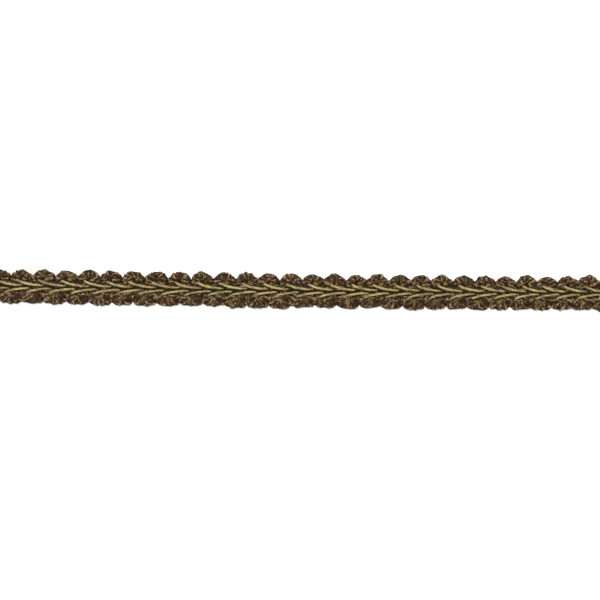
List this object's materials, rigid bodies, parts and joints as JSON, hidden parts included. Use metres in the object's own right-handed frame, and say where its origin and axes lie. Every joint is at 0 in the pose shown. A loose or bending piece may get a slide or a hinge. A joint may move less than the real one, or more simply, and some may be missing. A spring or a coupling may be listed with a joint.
{
  "type": "gimp braid trim",
  "caption": "Flat scalloped gimp braid: a wound cord meandering from edge to edge, held by two satin cords stitched as a row of arrows.",
  "frame": {"origin": "under the middle of the trim's box, on the surface that its back lies on", "axes": "+X along the trim, the way the arrows point; +Y to the deeper scalloped edge; +Z out of the face"},
  "size_m": [0.236, 0.0148, 0.0026],
  "materials": {
    "wound_yarn": "matt dark brown yarn flecked with old gold, wound over a soft core",
    "satin_cord": "twisted old gold rayon cord with a soft satin sheen"
  },
  "bodies": {
    "root": {"gimp_cord": "wound_yarn", "chevron_cord_upper": "satin_cord", "chevron_cord_lower": "satin_cord"}
  },
  "joints": []
}
